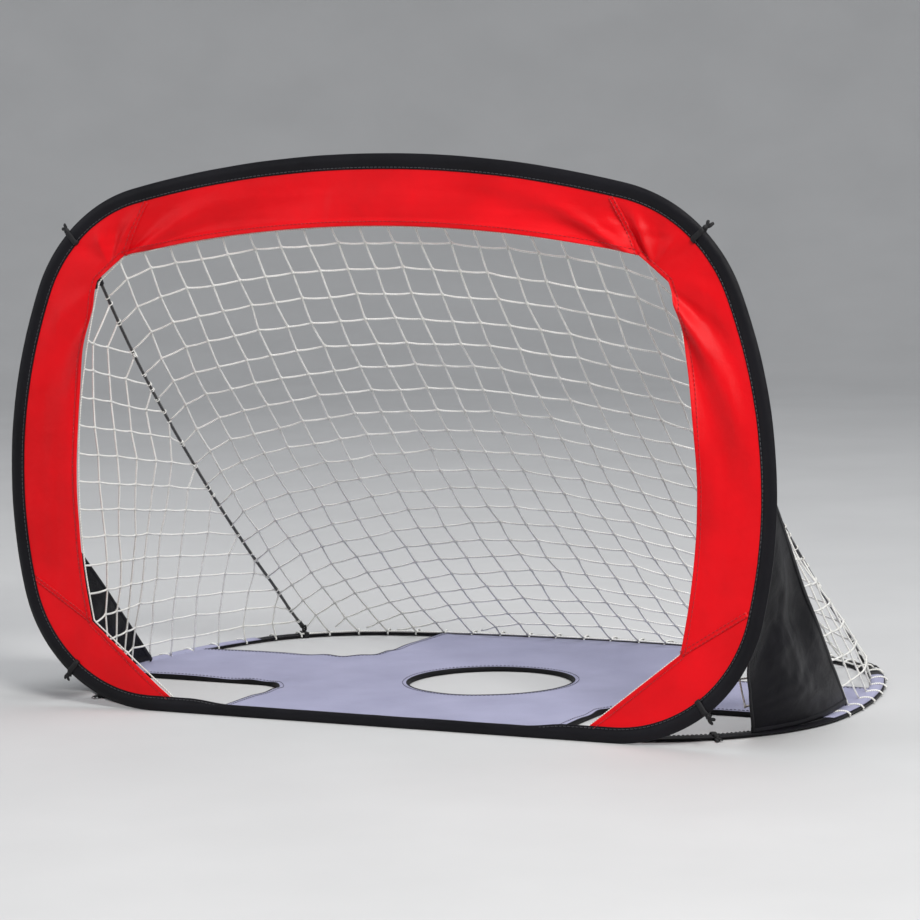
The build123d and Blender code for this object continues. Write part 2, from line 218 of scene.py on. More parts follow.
# ---- mesh builders ----
class Mesh:
    """Vertices and faces gathered for one piece, with the lay of its threads."""

    def __init__(self):
        self.points, self.faces, self.lay = [], [], []

    def grid(self, rows, wrap_rows=False, wrap_columns=False):
        """Quads between rows of points."""
        base, wide, deep = len(self.points), len(rows[0]), len(rows)
        for row in rows:
            self.points += [tuple(p) for p in row]
            self.lay += [(0.0, 0.0, 0.0)] * wide
        for i in range(deep if wrap_rows else deep - 1):
            for j in range(wide if wrap_columns else wide - 1):
                k, m = (i + 1) % deep, (j + 1) % wide
                self.faces.append(
                    (base + i * wide + j, base + i * wide + m, base + k * wide + m, base + k * wide + j)
                )
        return base

    def tube(self, path, radius, sides=6, flat=1.0, up=None):
        """A capped tube, round or flattened; radius is one number or one for each point."""
        path = [Vector(p) for p in path]
        last = len(path) - 1
        radii = [radius] * len(path) if isinstance(radius, float) else radius
        base = len(self.points)
        run = lengths_along(path)
        side = None
        for i, p in enumerate(path):
            ahead = (path[min(i + 1, last)] - path[max(i - 1, 0)]).normalized()
            if up is not None:
                side = ahead.cross(Vector(up)).normalized()
            elif side is None:
                side = ahead.orthogonal().normalized()
            else:
                side = (side - ahead * side.dot(ahead)).normalized()
            other = side.cross(ahead)
            for j in range(sides):
                a = 2 * math.pi * j / sides
                c, s = math.cos(a), math.sin(a)
                self.points.append(tuple(p + (side * c + other * s * flat) * radii[i]))
                self.lay.append((run[i], c, s))
        for near in range(base, base + last * sides, sides):
            far = near + sides
            for j in range(sides):
                m = (j + 1) % sides
                self.faces.append((near + j, far + j, far + m, near + m))
        self.faces.append(tuple(range(base, base + sides)))
        self.faces.append(tuple(reversed(range(base + last * sides, base + (last + 1) * sides))))

    def knot(self, centre, radius, squash=(1.0, 1.0, 1.0), seed=0.0, rings=4, sides=7):
        """A lump with poles, pressed along the axes and a little uneven."""
        base = len(self.points)
        centre = Vector(centre)
        for i in range(1, rings):
            a = math.pi * i / rings
            for j in range(sides):
                b = 2 * math.pi * (j + 0.5 * (i % 2)) / sides
                d = Vector((math.sin(a) * math.cos(b), math.sin(a) * math.sin(b), math.cos(a)))
                swell = radius * (1 + 0.22 * rough(*(d * 1.7), seed))
                self.points.append(tuple(centre + Vector(d[k] * squash[k] for k in range(3)) * swell))
                self.lay.append((0.004 * i, math.cos(b), math.sin(b)))
        top = len(self.points)
        pole = Vector((0, 0, radius * squash[2]))
        self.points += [tuple(centre + pole), tuple(centre - pole)]
        self.lay += [(0.0, 1.0, 0.0)] * 2
        end = base + (rings - 2) * sides
        for j in range(sides):
            m = (j + 1) % sides
            for a in range(base, end, sides):
                self.faces.append((a + j, a + sides + j, a + sides + m, a + m))
            self.faces.append((top, base + j, base + m))
            self.faces.append((top + 1, end + m, end + j))

    def made(self, name, material, body, slot, merge=0.0, thick=0.0):
        """The piece itself, riding on its body; thick gives cloth its thickness."""
        data = bpy.data.meshes.new(name)
        data.from_pydata(self.points, [], self.faces)
        lay = data.attributes.new("lay", "FLOAT_VECTOR", "POINT")
        lay.data.foreach_set("vector", np.array(self.lay, np.float32).ravel())
        shaped = bmesh.new()
        shaped.from_mesh(data)
        if merge:
            bmesh.ops.remove_doubles(shaped, verts=shaped.verts, dist=merge)
        bmesh.ops.recalc_face_normals(shaped, faces=shaped.faces)
        shaped.to_mesh(data)
        shaped.free()
        data.shade_smooth()
        piece = bpy.data.objects.new(name, data)
        bpy.context.scene.collection.objects.link(piece)
        piece.data.materials.append(material)
        if thick:
            cloth = piece.modifiers.new("thickness", "SOLIDIFY")
            cloth.thickness = thick
            cloth.offset = 0.0
        if body:
            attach(piece, body)
        return piece


# ---- materials ----
class Shade:
    """A Principled material with a few helpers for its node tree."""

    def __init__(self, name, roughness=0.6, sheen=0.0, specular=0.5):
        self.material = bpy.data.materials.new(name)
        self.material.use_nodes = True
        self.tree = self.material.node_tree
        self.shader = self.tree.nodes["Principled BSDF"]
        self.shader.inputs["Roughness"].default_value = roughness
        self.shader.inputs["Sheen Weight"].default_value = sheen
        self.shader.inputs["Sheen Roughness"].default_value = 0.4
        self.shader.inputs["Specular IOR Level"].default_value = specular
        self.place = self.node("TexCoord").outputs["Object"]
        self.relief = None

    def put(self, value, socket):
        """Link another node's output to a socket, or set the socket."""
        if isinstance(value, bpy.types.NodeSocket):
            self.tree.links.new(value, socket)
        else:
            socket.default_value = value

    def node(self, kind, **values):
        node = self.tree.nodes.new("ShaderNode" + kind)
        for name, value in values.items():
            self.put(value, node.inputs[name.replace("_", " ")])
        return node

    def noise(self, scale, detail, stretch=(1, 1, 1), distortion=0.0):
        place = self.node("Mapping", Vector=self.place, Scale=stretch).outputs["Vector"]
        grain = self.node("TexNoise", Vector=place, Scale=scale, Detail=detail, Distortion=distortion)
        return grain.outputs["Fac"]

    def math(self, kind, *values):
        node = self.node("Math")
        node.operation = kind
        for socket, value in zip(node.inputs, values):
            self.put(value, socket)
        return node.outputs[0]

    def weave(self, pitch):
        """Plain weave seen on any face: ribs along two axes that swap over and under."""
        axes = self.node("SeparateXYZ", Vector=self.place).outputs
        x, y, z = (self.math("SINE", self.math("MULTIPLY", axis, 2 * math.pi / pitch)) for axis in axes)
        return self.math("MAXIMUM", self.math("MULTIPLY", x, z), self.math("MULTIPLY", x, y))

    def twist(self, pitch, strands=3, turn=1):
        """Ridges of a laid twine, by the place along and round the tube that its points carry."""
        lay = self.node("Attribute")
        lay.attribute_name = "lay"
        along, c, s = self.node("SeparateXYZ", Vector=lay.outputs["Vector"]).outputs
        phase = self.math("MULTIPLY", along, turn * 2 * math.pi * strands / pitch)
        first = self.math("MULTIPLY", self.math("SINE", phase), c)
        second = self.math("MULTIPLY", self.math("COSINE", phase), s)
        return self.math("ADD", first, second)

    def bump(self, height, distance, strength=1.0):
        """One more relief over the ones before it."""
        node = self.node("Bump", Distance=distance, Strength=strength, Height=height)
        if self.relief is not None:
            self.put(self.relief, node.inputs["Normal"])
        self.relief = node.outputs["Normal"]
        self.put(self.relief, self.shader.inputs["Normal"])

    def colours(self, fac, dark, light, start=0.3, end=0.7):
        node = self.node("ValToRGB", Fac=fac)
        for element, position, colour in zip(node.color_ramp.elements, (start, end), (dark, light)):
            element.position = position
            element.color = (*colour, 1)
        self.put(node.outputs["Color"], self.shader.inputs["Base Color"])

    def roughness(self, fac, low, high):
        node = self.node("MapRange", Value=fac, To_Min=low, To_Max=high)
        self.put(node.outputs["Result"], self.shader.inputs["Roughness"])


def woven(name, dark, light, roughness, sheen, pitch, crease, specular):
    """Coated woven polyester: weave, soft creases and uneven dye."""
    shade = Shade(name, sheen=sheen, specular=specular)
    shade.colours(shade.noise(9, 5), dark, light)
    shade.roughness(shade.noise(30, 3), roughness - 0.07, roughness + 0.07)
    shade.bump(shade.noise(26, 4, distortion=0.6), crease)
    shade.bump(shade.weave(pitch), 0.00009, 0.6)
    return shade.material


def twine(name, dark, light, pitch, depth):
    shade = Shade(name, roughness=0.75, sheen=0.3, specular=0.3)
    ridges = shade.twist(pitch)
    # colour follows the ridges: painted shade darkens the twist's grooves, over the twine's own uneven
    # tone
    groove_shade_and_tone = shade.math("MULTIPLY_ADD", ridges, 0.22, shade.noise(70, 3))
    shade.colours(groove_shade_and_tone, dark, light, 0.25, 0.75)
    shade.bump(ridges, depth)
    shade.bump(shade.noise(900, 2), 0.0002, 0.5)
    return shade.material


def braid(name, dark, light, pitch):
    shade = Shade(name, roughness=0.6, sheen=0.4)
    both = shade.math("MULTIPLY", shade.twist(pitch, 4, 1), shade.twist(pitch, 4, -1))
    # colour follows the braid's relief: painted shade darkens its hollows
    shade.colours(shade.math("MULTIPLY_ADD", both, 0.5, 0.5), dark, light, 0.2, 0.9)
    shade.bump(both, 0.0004)
    return shade.material


def moulded(name, dark, light, roughness):
    shade = Shade(name)
    shade.colours(shade.noise(60, 4), dark, light)
    shade.roughness(shade.noise(140, 3), roughness - 0.08, roughness + 0.1)
    shade.bump(shade.noise(1500, 2), 0.00006, 0.6)
    return shade.material


def steel(name, dark, light, roughness):
    shade = Shade(name)
    shade.shader.inputs["Metallic"].default_value = 1.0
    shade.colours(shade.noise(40, 5), dark, light)
    shade.roughness(shade.noise(300, 3, (1, 8, 8)), roughness - 0.08, roughness + 0.12)
    shade.bump(shade.noise(900, 2, (0.2, 4, 4)), 0.00004, 0.5)
    return shade.material


RED = woven(
    "red polyester", (0.60, 0.0012, 0.0045), (0.78, 0.0020, 0.0075), 0.40, 0.0, 0.0011, 0.0014, 0.17
)
BLACK = woven(
    "black sleeve", (0.0045, 0.0045, 0.0060), (0.0085, 0.0080, 0.0110), 0.42, 0.01, 0.0012, 0.0009, 0.14
)
WEB_CLOTH = woven(
    "black web", (0.0030, 0.0029, 0.0043), (0.0062, 0.0058, 0.0088), 0.36, 0.0, 0.0011, 0.0016, 0.10
)
GREY = woven("grey sheet", (0.285, 0.288, 0.415), (0.345, 0.348, 0.490), 0.6, 0.04, 0.0013, 0.0012, 0.3)
WEBBING = woven(
    "black webbing", (0.004, 0.004, 0.005), (0.009, 0.009, 0.011), 0.6, 0.05, 0.0018, 0.0003, 0.3
)
# black binding; the part of it that stands below the sheet, down to the floor, is painted shade
LIP_BINDING_AND_SHADE = woven("sheet binding and painted shade", (0.003, 0.003, 0.004), (0.006, 0.006, 0.008), 0.7, 0.02, 0.0014, 0.0004, 0.2)
TWINE = twine("white twine", (0.78, 0.78, 0.74), (0.95, 0.95, 0.92), 0.0085, 0.0005)
ROPE = twine("white edge rope", (0.6, 0.6, 0.56), (0.88, 0.88, 0.84), 0.012, 0.0006)
RED_THREAD = twine("red thread", (0.32, 0.001, 0.004), (0.55, 0.004, 0.012), 0.003, 0.0001)
DARK_THREAD = twine("dark thread", (0.08, 0.08, 0.12), (0.14, 0.14, 0.2), 0.003, 0.0001)
GREY_THREAD = twine("thread on black", (0.03, 0.03, 0.036), (0.07, 0.07, 0.08), 0.003, 0.0001)
CORD = braid("elastic cord", (0.003, 0.003, 0.004), (0.012, 0.012, 0.015), 0.012)
PLASTIC = moulded("black plastic", (0.008, 0.008, 0.009), (0.018, 0.018, 0.02), 0.4)
SPRING_STEEL = steel("spring steel", (0.28, 0.29, 0.31), (0.42, 0.43, 0.45), 0.3)
PLATED = steel("plated ferrule", (0.5, 0.51, 0.53), (0.68, 0.69, 0.7), 0.28)


# ---- sleeves: a flat sewn pocket, full over the rod ----
HOOPS = {"goal": (GOAL_RUN, GOAL_ARCS, on_goal), "ground": (GROUND_RUN, GROUND_ARCS, on_ground)}
FILL = {"goal": (1, 0.0038), "ground": (4, 0.0031)}     # wrinkles' seed, half thickness over the rod
OUTLINE_STEP = 0.0045
SECTION = 14                # points across each face of a sleeve
BULGE_AT = 0.0016
BULGE_HALF = 0.0088
EDGE_HALF = 0.0011
PUCKER_PITCH = 0.0165
STITCH_PITCH = 0.0062
STITCH = 0.0042
SEAM_IN = -HALF_SLEEVE + 0.0026


def fullness(a, full):
    """Half thickness of a sleeve at a, outward from its rod."""
    room = max(0.0, 1 - ((a - BULGE_AT) / BULGE_HALF) ** 2)
    return EDGE_HALF + (full - EDGE_HALF) * room**1.1


def pocket(lost, full):
    """Closed section of a sleeve: outward distance and half thickness, over and under."""
    inner = -HALF_SLEEVE + lost
    middle, half = (HALF_SLEEVE + inner) / 2, (HALF_SLEEVE - inner) / 2
    upper = []
    for k in range(SECTION + 1):
        a = middle - half * math.cos(math.pi * k / SECTION)
        upper.append((a, fullness(a, full) if 0 < k < SECTION else 0.0005))
    return upper + [(a, -h) for a, h in reversed(upper[1:-1])]


def narrowing(hoop, x, v):
    """How much of its flange the goal sleeve loses along the fold, where the sheet meets it."""
    if hoop == "ground" or v >= GOAL_RUN + 0.001:
        return 0.0
    return 0.0058 * smooth((0.30 - abs(x)) / 0.07)


def make_sleeve(hoop):
    """A hoop's sleeve, gathered a little along its seam."""
    run, arcs, place = HOOPS[hoop]
    seed, full = FILL[hoop]
    line = whole_hoop(run, arcs, OUTLINE_STEP)
    rows = []
    for s, (x, v, nx, nv) in zip(lengths_along([r[:2] for r in line]), line):
        slack = min(1.04, 1 + 0.10 * rough(s * 22, 0, 0, seed))
        shift = 0.0004 * rough(s * 14, 2, 0, seed)
        gather = 0.6 + 0.8 * max(0.0, rough(s * 9, 9, 0, seed))
        row = []
        for a, depth in pocket(narrowing(hoop, x, v), full):
            near_edge = smooth(1 - (a + HALF_SLEEVE) / 0.012)
            pucker = math.sin(2 * math.pi * s / PUCKER_PITCH + 3 * rough(s * 30, 5, 0, seed) + a * 160)
            lift = 0.00042 * pucker * near_edge * gather + 0.00045 * rough(s * 60, a * 220, 3, seed)
            if abs(depth) > 0.0006:
                depth = depth * slack + math.copysign(lift, depth)
            depth = max(0.0001 - MID_SLEEVE, depth)
            row.append(place(x + nx * (a + shift), v + nv * (a + shift), MID_SLEEVE + depth))
        rows.append(row)
    cloth = Mesh()
    cloth.grid(rows, wrap_rows=True, wrap_columns=True)
    piece = cloth.made(f"{hoop}_sleeve_cloth", BLACK, hoop, "black_sleeve")
    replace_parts(piece, f"{hoop}_sleeve")


def add_stitches(mesh, path, lift, radius=0.00055):
    """Short thread lengths along a line, each raised in its middle."""
    along = lengths_along(path)
    points = np.array(path)
    count = int(along[-1] / STITCH_PITCH)
    for i in range(count):
        start = (i + 0.5) * along[-1] / count - STITCH / 2
        spots = []
        for share, raised in ((0.0, 0.0), (0.3, 1.0), (0.7, 1.0), (1.0, 0.0)):
            spot = Vector([np.interp(start + STITCH * share, along, points[:, k]) for k in range(3)])
            spots.append(spot + lift * (0.0007 * raised - 0.0001))
        mesh.tube(spots, [radius * 0.7, radius, radius, radius * 0.7], sides=5)


def stitch_sleeve(hoop):
    """The seam that closes the pocket over the rod, on the sleeve's front."""
    run, arcs, place = HOOPS[hoop]
    line = whole_hoop(run, arcs, OUTLINE_STEP)
    seam = []
    for x, v, nx, nv in line + line[:1]:
        inward = SEAM_IN + narrowing(hoop, x, v)
        seam.append(place(x + nx * inward, v + nv * inward, MID_SLEEVE + 0.0017))
    threads = Mesh()
    add_stitches(threads, seam, place(0, 0, 1) - place(0, 0, 0))
    threads.made(f"{hoop}_sleeve_stitching", GREY_THREAD, hoop, "black_sleeve")


for make in (make_sleeve, stitch_sleeve):
    for hoop in HOOPS:
        make(hoop)


# ---- border: five sewn panels with folds that run from the mouth's upper corners ----
goal_out = on_goal(0, 0, 1) - on_goal(0, 0, 0)


def mirrored(points, sign):
    return [(sign * p[0], *p[1:]) for p in points]


def ray_hit(start, toward, line):
    """Where the line from start through toward crosses a polyline, and the index there."""
    sx, sy = start
    dx, dy = toward[0] - sx, toward[1] - sy
    reach = math.hypot(dx, dy)
    best = None
    for i, ((ax, ay), (bx, by)) in enumerate(zip(line, line[1:])):
        ca = dx * (ay - sy) - dy * (ax - sx)
        cb = dx * (by - sy) - dy * (bx - sx)
        if ca * cb <= 0 and ca != cb:
            t = ca / (ca - cb)
            px, py = ax + (bx - ax) * t, ay + (by - ay) * t
            ahead = ((px - sx) * dx + (py - sy) * dy) / reach
            if ahead > 0 and (best is None or ahead < best[0]):
                best = (ahead, i, (px, py))
    return best[1], best[2]


TUCK = -0.0085              # border's outer edge, inside the sleeve
goal_half = moved_out(right_half(GOAL_RUN, GOAL_ARCS, 0.0045), TUCK)
upper_at, upper_hit = ray_hit(MOUTH_SHOULDER, UPPER_SEAM_END, goal_half)
lower_at, lower_hit = ray_hit(MOUTH_ELBOW, LOWER_SEAM_END, goal_half)
mouth_top = arc_through(mirrored([MOUTH_SHOULDER], -1)[0], MOUTH_TOP_MIDDLE, MOUTH_SHOULDER, 80)
mouth_side = arc_through(MOUTH_CORNER, MOUTH_SIDE_MIDDLE, MOUTH_ELBOW, 60)
end_share = (MOUTH_ELBOW[1] - GOAL_RUN) / (MOUTH_ELBOW[1] - MOUTH_TIP[1])
mouth_end = (MOUTH_ELBOW[0] + (MOUTH_TIP[0] - MOUTH_ELBOW[0]) * end_share, GOAL_RUN)
tuck_end = [p for p in goal_half[: lower_at + 1] if p[0] > mouth_end[0] + 0.002]

# folds that fan out of a corner: bearing in degrees, half width in degrees, height, reach
CORNER_FOLDS = {
    1: [
        (168, 5.0, 0.0046, 0.34), (158, 3.6, -0.0030, 0.30), (150, 3.2, 0.0034, 0.24),
        (128, 6.0, -0.0040, 0.15), (112, 5.0, 0.0036, 0.14), (84, 9.0, -0.0022, 0.12),
        (52, 6.0, 0.0026, 0.12), (30, 8.0, -0.0020, 0.12), (-22, 7.0, 0.0030, 0.16),
        (-46, 4.5, -0.0036, 0.20), (-57, 3.6, 0.0050, 0.26), (-66, 3.4, -0.0034, 0.26),
        (-73, 2.8, 0.0042, 0.30), (-80, 2.6, -0.0026, 0.28),
    ],
    -1: [
        (170, 5.0, 0.0036, 0.30), (160, 3.6, -0.0024, 0.28), (151, 3.4, 0.0030, 0.22),
        (138, 4.0, -0.0022, 0.18), (118, 5.0, 0.0030, 0.14), (98, 6.0, -0.0024, 0.12),
        (66, 7.0, 0.0024, 0.12), (36, 8.0, -0.0018, 0.12), (-40, 7.0, 0.0022, 0.16),
        (-58, 4.5, -0.0026, 0.20), (-70, 3.6, 0.0030, 0.24), (-78, 3.2, -0.0022, 0.26),
    ],
}
FOLD_GAIN = 1.9
TAB_CENTRE = (0.457, 0.617)     # the cord's tab behind the border's corner


def folds(x, v):
    """Height of the border's folds out of its plane at a place in the goal hoop's plane."""
    height = 0.0
    for sign, fans in CORNER_FOLDS.items():
        dx = sign * x - (MOUTH_SHOULDER[0] + MOUTH_CORNER[0]) / 2
        dv = v - (MOUTH_SHOULDER[1] + MOUTH_CORNER[1]) / 2
        far = math.hypot(dx, dv)
        if far > 0.5:
            continue
        bearing = math.degrees(math.atan2(dv, dx))
        bearing += 5 * rough(x * 7, v * 7, 0, sign + 3)
        for at, spread, amount, reach in fans:
            off = (bearing - at + 180) % 360 - 180
            if abs(off) < 3.5 * spread:
                rise = min(1.0, far / 0.05) * math.exp(-((far / reach) ** 2))
                height += FOLD_GAIN * amount * math.exp(-0.5 * (off / spread) ** 2) * rise
    height += 0.0020 * rough(x * 5, v * 9, 0, 21)
    height += 0.0009 * rough(x * 16, v * 24, 0, 22)
    along_top = smooth((v - 0.60) / 0.06)
    height += along_top * 0.0011 * rough(x * 4, (v + 0.16 * x * x) * 95, 0, 23)
    height += (1 - along_top) * 0.0009 * rough(x * 60, v * 6, 0, 24)
    over_tab = math.exp(-((math.dist((abs(x), v), TAB_CENTRE) / 0.032) ** 2))
    return height * (1 - over_tab) + 0.0014 * over_tab


HEM_ROWS = (0.0, 0.0022, 0.0060, 0.0086, 0.0092)
HEM_DEPTH = 0.0006


def border_point(x, v, inward, hem):
    """inward is 0 at the sleeve and 1 away from it; hem is 1 on the doubled edge."""
    lift = folds(x, v) * smooth(inward)
    return on_goal(x, v, MID_SLEEVE + lift + HEM_DEPTH * hem)


def make_panel(name, outer, inner, node):
    count = max(24, round(max(lengths_along(outer)[-1], lengths_along(inner)[-1]) / 0.005))
    outer, inner = resampled(outer, count), resampled(inner, count)
    widest = max(np.linalg.norm(outer - inner, axis=1))
    across = max(10, round(widest / 0.005))
    rows = []
    for o, i in zip(outer, inner):
        width = float(np.linalg.norm(o - i))
        marks = [min(h, width * 0.02 * (k + 1)) if width < 0.02 else h for k, h in enumerate(HEM_ROWS)]
        marks += [marks[-1] + (width - marks[-1]) * (k + 1) / across for k in range(across)]
        row = []
        for k, d in enumerate(marks):
            x, v = i + (o - i) * (d / max(width, 1e-6))
            row.append(border_point(x, v, (width - d) / 0.045, 1.0 if k < 4 else 0.0))
        rows.append(row)
    cloth = Mesh()
    cloth.grid(rows)
    piece = cloth.made(name, RED, "goal", "red_fabric", merge=0.0002, thick=0.0007)
    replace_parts(piece, node)
    return piece


top_outer = [upper_hit, *goal_half[upper_at + 1:]]
top_outer += mirrored(reversed(top_outer[:-1]), -1)
make_panel(
    "border_top_cloth", mirrored(top_outer, -1), mouth_top, "border_top"
)
side_inner = [MOUTH_SHOULDER, *mouth_side]
side_outer = [upper_hit, *reversed(goal_half[lower_at + 1: upper_at + 1]), lower_hit]
corner_outer = [lower_hit, *reversed(tuck_end), mouth_end]
corner_inner = [MOUTH_ELBOW, mouth_end]
for side, sign in SIDES:
    make_panel(
        f"border_{side}_cloth", mirrored(side_outer, sign), mirrored(side_inner, sign),
        f"border_{side}",
    )
    make_panel(
        f"border_corner_{side}_cloth", mirrored(corner_outer, sign),
        mirrored(corner_inner, sign), f"border_corner_{side}",
    )


def border_line(points, lift=0.0006):
    """Points on the border's front, kept to its folds."""
    made = []
    for x, v in resampled(points, max(8, round(lengths_along(points)[-1] / 0.004))):
        near = min(math.dist((x, v), p) for p in sleeve_edges)
        made.append(border_point(x, v, near / 0.045, 1.0) + goal_out * lift)
    return made


sleeve_edges = [*goal_half, *mirrored(goal_half, -1)]
outline = [*mirrored([mouth_end, *reversed(mouth_side)], -1), *mouth_top, *mouth_side, mouth_end]


def inset(points, amount):
    """An open outline moved to its left by amount."""
    points = np.array(points, float)
    ahead = np.gradient(points, axis=0)
    ahead /= np.linalg.norm(ahead, axis=1)[:, None]
    return points + amount * np.stack([-ahead[:, 1], ahead[:, 0]], 1)


seam_threads = Mesh()
hem_line = resampled(outline, 700)
add_stitches(seam_threads, border_line(inset(hem_line, 0.0065)), goal_out)
seam_tape = Mesh()
for side, sign in SIDES:
    for start, end in ((MOUTH_SHOULDER, upper_hit), (MOUTH_ELBOW, lower_hit)):
        seam = resampled(mirrored([start, end], sign), 60)[1:-3]
        for shift in (-0.0026, 0.0026):
            add_stitches(seam_threads, border_line(inset(seam, shift), lift=0.0010), goal_out)
        seam_tape.tube(border_line(seam, lift=0.0001), 0.0042, sides=10, flat=0.13, up=goal_out)
seam_threads.made("border_stitching", RED_THREAD, "goal", "red_fabric")
seam_tape.made("border_seams", RED, "goal", "red_fabric")


# ---- edge rope round the mouth, behind the hem ----
rope = Mesh()
rope.tube([
    on_goal(x, v, -0.0004 + 0.0008 * rough(i * 0.15, 0, 0, 31))
    for i, (x, v) in enumerate(inset(resampled(outline, 420), -0.0006))
], 0.0012, sides=8)
rope.made("mouth_edge_rope", ROPE, "goal", "white_net")


# ---- target sheet ----
ground_half = right_half(GROUND_RUN, GROUND_ARCS, 0.006)
SHEET_RISE = 0.0068         # height of the sheet where nothing holds it
SHEET_UNDER = 0.0042        # and where it runs under the sleeve
SHEET_OVER = 0.0021         # swell of the sleeve under the sheet, and the sheet's height over it
WRAP = 0.0085               # how far the sheet reaches over the sleeve
WRAP_END = 0.600            # the side arms' strip over the sleeve ends here, back from the fold
BEND_X = ARM_HALF_WIDTH + CUTOUT_CORNER
BEND_YS = (SIDE_ARM[0] - CUTOUT_CORNER, SIDE_ARM[1] + CUTOUT_CORNER)
ground_fine = np.array(right_half(GROUND_RUN, GROUND_ARCS, 0.002))


def rim_near(x, y):
    """Place and outward normal of the ground hoop's nearest point, as on its right half."""
    return ground_fine[int(np.argmin(np.hypot(ground_fine[:, 0] - abs(x), ground_fine[:, 1] - y)))]


def sheet_height(x, y):
    """Height of the sheet: loose on the floor, and over or under the sleeve at the hoop."""
    rim_x, rim_y, nx, ny = rim_near(x, y)
    out = float((abs(x) - rim_x) * nx + (y - rim_y) * ny)
    lying = SHEET_RISE + 0.0011 * rough(x * 5, y * 5, 0, 41) + 0.0007 * rough(x * 14, y * 11, 0, 42)
    for bend_y in BEND_YS:
        dx, dy = abs(x) - BEND_X, y - bend_y
        fan = math.cos(7 * math.atan2(dy, -dx))
        lying += 0.0009 * fan * math.exp(-((math.hypot(dx, dy) - 0.06) / 0.10) ** 2)
    on_sleeve = smooth((out + 0.017) / 0.008)
    held = SHEET_UNDER
    if y < 0.04 or (abs(x) > 0.40 and SIDE_ARM[0] - 0.03 < y < WRAP_END + 0.03):
        held = MID_SLEEVE + SHEET_OVER * (1 + max(0.0, 1 - ((out - 0.0016) / 0.0092) ** 2))
    return lying * (1 - on_sleeve) + held * on_sleeve


def hoop_between(amount, keep):
    """Points of the right half, moved out by amount, that a test keeps."""
    return [p for p in moved_out(ground_half, amount) if keep(*p)]


def at_level(amount, y):
    """Where the right side of the moved hoop crosses a level."""
    return ray_hit((0.3, y), (0.4, y), moved_out(ground_half, amount))[1]


def at_width(amount, x, y_from, toward):
    """Where the moved hoop crosses a width, ahead of or behind a place."""
    return ray_hit((x, y_from), (x, y_from + toward), moved_out(ground_half, amount))[1]


def cutout_edge(row):
    """Edge of a right-hand corner opening in the sheet, from the front or rear arm."""
    i, reach, y_from, toward = (0, WRAP, 0.15, -1) if row == "front" else (1, TUCK, 0.6, 1)
    bend = [
        (BEND_X + CUTOUT_CORNER * math.cos(a), BEND_YS[i] + CUTOUT_CORNER * math.sin(a))
        for a in np.radians(np.linspace(180, 180 + 90 * toward, 12))
    ]
    start = at_width(reach, ARM_HALF_WIDTH, y_from, toward)
    return [start, *bend, at_level(-HALF_SLEEVE, SIDE_ARM[i])]


def sheet_outline():
    front, rear = cutout_edge("front"), cutout_edge("rear")
    along_front = hoop_between(WRAP, lambda x, y: y < 0.1 and x < ARM_HALF_WIDTH)
    along_side = [
        at_level(WRAP, SIDE_ARM[0]),
        *hoop_between(WRAP, lambda x, y: SIDE_ARM[0] < y < WRAP_END),
        at_level(WRAP, WRAP_END),
        at_level(-HALF_SLEEVE, WRAP_END),
        *reversed(hoop_between(-HALF_SLEEVE, lambda x, y: SIDE_ARM[1] < y < WRAP_END)),
    ]
    along_rear = hoop_between(TUCK, lambda x, y: y > 0.6 and x < ARM_HALF_WIDTH)
    right = [*along_front, *front, *along_side, *reversed(rear), *along_rear]
    return right + mirrored(reversed(right[1:-1]), -1)


def ring(radius, angles):
    """A circle round the target's centre."""
    return [
        (TARGET_CENTRE[0] + radius * math.cos(a), TARGET_CENTRE[1] + radius * math.sin(a))
        for a in angles
    ]


SHEET_SPACING = 0.008


def make_target_sheet():
    """The sheet, triangulated between its outline and the target's opening."""
    outer = sheet_outline()
    outer.append(outer[0])
    dense = resampled(outer, round(lengths_along(outer)[-1] / 0.007))[:-1]
    hole = ring(TARGET_RADIUS + 0.001, np.linspace(0, 2 * math.pi, 110, endpoint=False))
    first = len(dense)
    edges = [(i, (i + 1) % first) for i in range(first)]
    edges += [(first + i, first + (i + 1) % len(hole)) for i in range(len(hole))]
    points = [tuple(p) for p in dense] + hole
    rims = np.array(points)
    for i in range(-80, 81):
        for j in range(105):
            x = (i + 0.5 * (j % 2)) * SHEET_SPACING
            y = j * SHEET_SPACING * 0.87
            if np.min(np.hypot(rims[:, 0] - x, rims[:, 1] - y)) > 0.0048:
                points.append((x, y))
    places = [Vector(p) for p in points]
    result = geometry.delaunay_2d_cdt(places, edges, [list(range(first))], 1, 1e-6)
    flat = result[0]
    cloth = Mesh()
    used = {}
    for face in result[2]:
        cx = sum(flat[k].x for k in face) / len(face) - TARGET_CENTRE[0]
        cy = sum(flat[k].y for k in face) / len(face) - TARGET_CENTRE[1]
        if math.hypot(cx, cy) > TARGET_RADIUS + 0.0006:
            cloth.faces.append(tuple(used.setdefault(k, len(used)) for k in face))
    cloth.points = [tuple(on_ground(*flat[k], sheet_height(*flat[k]))) for k in used]
    cloth.lay = [(0.0, 0.0, 0.0)] * len(used)
    piece = cloth.made("target_sheet_cloth", GREY, "ground", "grey_sheet", thick=0.0009)
    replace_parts(piece, "target_sheet")


make_target_sheet()


def lip_path(points, step=0.006):
    return resampled(points, max(12, round(lengths_along(points)[-1] / step)))


LIP_FOOT = 0.0006


